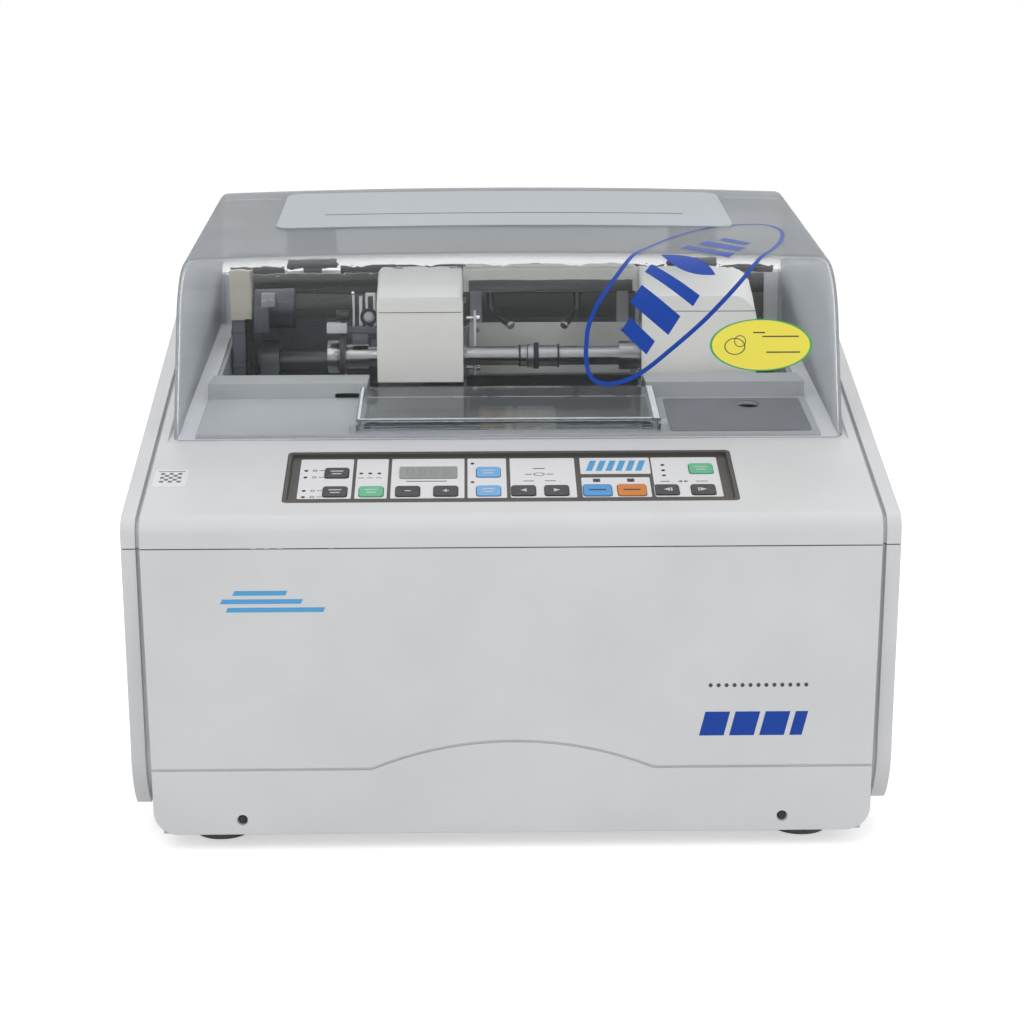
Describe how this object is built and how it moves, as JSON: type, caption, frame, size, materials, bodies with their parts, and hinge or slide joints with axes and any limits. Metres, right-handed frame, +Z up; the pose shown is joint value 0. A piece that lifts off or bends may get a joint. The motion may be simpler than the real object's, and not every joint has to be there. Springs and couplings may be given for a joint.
{
  "type": "lens edger",
  "caption": "Bench lens edger with a sloping key panel, a clear lift-up lid and a pivoting carriage that holds the lens over a stack of grinding wheels in a tub.",
  "frame": {"origin": "centre of the bounding box at the bench, under the feet", "axes": "+X to the operator's right, -Y towards the operator, +Z up"},
  "size_m": [0.56, 0.5, 0.4494],
  "materials": {
    "casing_plastic": "fine satin light grey moulding",
    "deck_plastic": "mid grey moulding under the lid",
    "clear_lid": "clear polycarbonate with a slight grey tint",
    "clear_plate": "clear acrylic",
    "bezel_plastic": "dark warm grey",
    "key_dark": "satin",
    "key_green": "satin",
    "key_light_blue": "satin",
    "key_blue": "satin",
    "key_orange": "satin",
    "display_grey": "glossy window",
    "lamp_lens": "small lamp lenses",
    "foot_rubber": "black rubber",
    "sheet_steel": "powder coated sheet",
    "tub_plastic": "dark grey tub",
    "motor_paint": "dark enamel",
    "board_green": "circuit board",
    "cast_aluminium": "bead blasted",
    "ground_steel": "ground shaft",
    "cover_cream": "off-white moulding",
    "chuck_steel": "bright turned steel",
    "former_black": "black former",
    "pad_rubber": "soft lens pad",
    "wheel_rough_grit": "coarse grit in bronze bond",
    "wheel_fine_grit": "fine grit",
    "belt_rubber": "toothed belt",
    "pipe_plastic": "grey pipe",
    "fitting_plastic": "black nylon",
    "hinge_steel": "plated hinge"
  },
  "bodies": {
    "casing": {"base_plate": "sheet_steel", "console_bezel": "bezel_plastic", "coolant_fittings": "fitting_plastic", "coolant_valve": "cover_cream", "display_window": "display_grey", "drain_pipe": "pipe_plastic", "drive_belt": "belt_rubber", "electronics": "board_green", "grinding_tub": "tub_plastic", "indicator_lamps": "lamp_lens", "inner_deck": "deck_plastic", "lid_hinge_brackets": "hinge_steel", "lower_casing": "casing_plastic", "main_motor": "motor_paint", "pivot_posts": "cast_aluminium", "pivot_shaft": "ground_steel", "power_inlet": "fitting_plastic", "rear_panel": "sheet_steel", "rubber_feet": "foot_rubber", "spindle_housings": "cast_aluminium", "stage_motors": "motor_paint", "upper_casing": "casing_plastic"},
    "lid": {"lid_shell": "clear_lid", "lid_hinge_leaves": "hinge_steel"},
    "chamber_door": {"chamber_cover": "clear_plate"},
    "traverse": {"traverse_sleeve": "ground_steel"},
    "carriage": {"carriage_frame": "cast_aluminium", "left_head_cover": "cover_cream", "right_head_cover": "cover_cream", "carriage_beam": "cover_cream", "splash_plates": "clear_plate", "coolant_nozzles": "ground_steel", "head_motors": "motor_paint"},
    "left_shaft": {"left_lens_shaft": "chuck_steel", "lens_cup": "foot_rubber", "former_disc": "former_black"},
    "clamp": {"clamp_quill": "ground_steel"},
    "right_shaft": {"right_lens_shaft": "chuck_steel", "lens_pad": "pad_rubber"},
    "spindle": {"wheel_spindle": "ground_steel", "wheel_rough": "wheel_rough_grit", "wheel_bevel": "wheel_fine_grit", "wheels_fine": "wheel_fine_grit"},
    "rotor": {"motor_pulley": "cast_aluminium"},
    "stage": {"size_stage": "cast_aluminium"},
    "rocker": {"power_rocker": "fitting_plastic"},
    "key_field_upper": {"key_field_upper": "key_dark"},
    "key_field_lower": {"key_field_lower": "key_dark"},
    "key_green_left": {"key_green_left": "key_green"},
    "key_minus": {"key_minus": "key_dark"},
    "key_plus": {"key_plus": "key_dark"},
    "key_blue_upper": {"key_blue_upper": "key_light_blue"},
    "key_blue_lower": {"key_blue_lower": "key_light_blue"},
    "key_arrow_left": {"key_arrow_left": "key_dark"},
    "key_arrow_right": {"key_arrow_right": "key_dark"},
    "key_blue_wide": {"key_blue_wide": "key_blue"},
    "key_orange_wide": {"key_orange_wide": "key_orange"},
    "key_arrow_in": {"key_arrow_in": "key_dark"},
    "key_arrow_out": {"key_arrow_out": "key_dark"},
    "key_green_right": {"key_green_right": "key_green"}
  },
  "joints": [
    {"name": "lid_hinge", "type": "hinge", "parent": "casing", "child": "lid", "pos_m": [0, 0.226, 0.39084], "axis": [-1, 0, 0], "range_deg": [0, 70]},
    {"name": "chamber_door_hinge", "type": "hinge", "parent": "casing", "child": "chamber_door", "pos_m": [0, -0.10683, 0.29318], "axis": [1, 0, 0], "range_deg": [0, 45]},
    {"name": "traverse_slide", "type": "slide", "parent": "casing", "child": "traverse", "axis": [1, 0, 0], "range_m": [-0.05, 0.008]},
    {"name": "carriage_tilt", "type": "hinge", "parent": "traverse", "child": "carriage", "pos_m": [0, 0.18, 0.3], "axis": [1, 0, 0], "range_deg": [0, 15]},
    {"name": "left_shaft_spin", "type": "hinge", "parent": "carriage", "child": "left_shaft", "pos_m": [0, 0.062, 0.321], "axis": [1, 0, 0], "continuous": true},
    {"name": "clamp_slide", "type": "slide", "parent": "carriage", "child": "clamp", "axis": [1, 0, 0], "range_m": [0, 0.03]},
    {"name": "right_shaft_spin", "type": "hinge", "parent": "clamp", "child": "right_shaft", "pos_m": [0, 0.062, 0.321], "axis": [1, 0, 0], "continuous": true},
    {"name": "wheel_spin", "type": "hinge", "parent": "casing", "child": "spindle", "pos_m": [0, 0.062, 0.226], "axis": [1, 0, 0], "continuous": true},
    {"name": "motor_spin", "type": "hinge", "parent": "casing", "child": "rotor", "pos_m": [0, 0.15, 0.082], "axis": [1, 0, 0], "continuous": true},
    {"name": "size_stage_slide", "type": "slide", "parent": "casing", "child": "stage", "axis": [0, 0, 1], "range_m": [-0.004, 0.004]},
    {"name": "rocker_tilt", "type": "hinge", "parent": "casing", "child": "rocker", "pos_m": [0.207, 0.23, 0.075], "axis": [1, 0, 0], "range_deg": [-6, 6]},
    {"name": "key_field_upper_press", "type": "slide", "parent": "casing", "child": "key_field_upper", "axis": [0, 0.2672, -0.9636], "range_m": [0, 0.0005], "stiffness_N_per_m": 400, "springref_m": -0.001},
    {"name": "key_field_lower_press", "type": "slide", "parent": "casing", "child": "key_field_lower", "axis": [0, 0.2672, -0.9636], "range_m": [0, 0.0005], "stiffness_N_per_m": 400, "springref_m": -0.001},
    {"name": "key_green_left_press", "type": "slide", "parent": "casing", "child": "key_green_left", "axis": [0, 0.2672, -0.9636], "range_m": [0, 0.0005], "stiffness_N_per_m": 400, "springref_m": -0.001},
    {"name": "key_minus_press", "type": "slide", "parent": "casing", "child": "key_minus", "axis": [0, 0.2672, -0.9636], "range_m": [0, 0.0005], "stiffness_N_per_m": 400, "springref_m": -0.001},
    {"name": "key_plus_press", "type": "slide", "parent": "casing", "child": "key_plus", "axis": [0, 0.2672, -0.9636], "range_m": [0, 0.0005], "stiffness_N_per_m": 400, "springref_m": -0.001},
    {"name": "key_blue_upper_press", "type": "slide", "parent": "casing", "child": "key_blue_upper", "axis": [0, 0.2672, -0.9636], "range_m": [0, 0.0005], "stiffness_N_per_m": 400, "springref_m": -0.001},
    {"name": "key_blue_lower_press", "type": "slide", "parent": "casing", "child": "key_blue_lower", "axis": [0, 0.2672, -0.9636], "range_m": [0, 0.0005], "stiffness_N_per_m": 400, "springref_m": -0.001},
    {"name": "key_arrow_left_press", "type": "slide", "parent": "casing", "child": "key_arrow_left", "axis": [0, 0.2672, -0.9636], "range_m": [0, 0.0005], "stiffness_N_per_m": 400, "springref_m": -0.001},
    {"name": "key_arrow_right_press", "type": "slide", "parent": "casing", "child": "key_arrow_right", "axis": [0, 0.2672, -0.9636], "range_m": [0, 0.0005], "stiffness_N_per_m": 400, "springref_m": -0.001},
    {"name": "key_blue_wide_press", "type": "slide", "parent": "casing", "child": "key_blue_wide", "axis": [0, 0.2672, -0.9636], "range_m": [0, 0.0005], "stiffness_N_per_m": 400, "springref_m": -0.001},
    {"name": "key_orange_wide_press", "type": "slide", "parent": "casing", "child": "key_orange_wide", "axis": [0, 0.2672, -0.9636], "range_m": [0, 0.0005], "stiffness_N_per_m": 400, "springref_m": -0.001},
    {"name": "key_arrow_in_press", "type": "slide", "parent": "casing", "child": "key_arrow_in", "axis": [0, 0.2672, -0.9636], "range_m": [0, 0.0005], "stiffness_N_per_m": 400, "springref_m": -0.001},
    {"name": "key_arrow_out_press", "type": "slide", "parent": "casing", "child": "key_arrow_out", "axis": [0, 0.2672, -0.9636], "range_m": [0, 0.0005], "stiffness_N_per_m": 400, "springref_m": -0.001},
    {"name": "key_green_right_press", "type": "slide", "parent": "casing", "child": "key_green_right", "axis": [0, 0.2672, -0.9636], "range_m": [0, 0.0005], "stiffness_N_per_m": 400, "springref_m": -0.001}
  ],
  "couplings": [
    {"joint": "right_shaft_spin", "follows": "left_shaft_spin", "ratio": 1},
    {"joint": "motor_spin", "follows": "wheel_spin", "ratio": 0.81818}
  ]
}
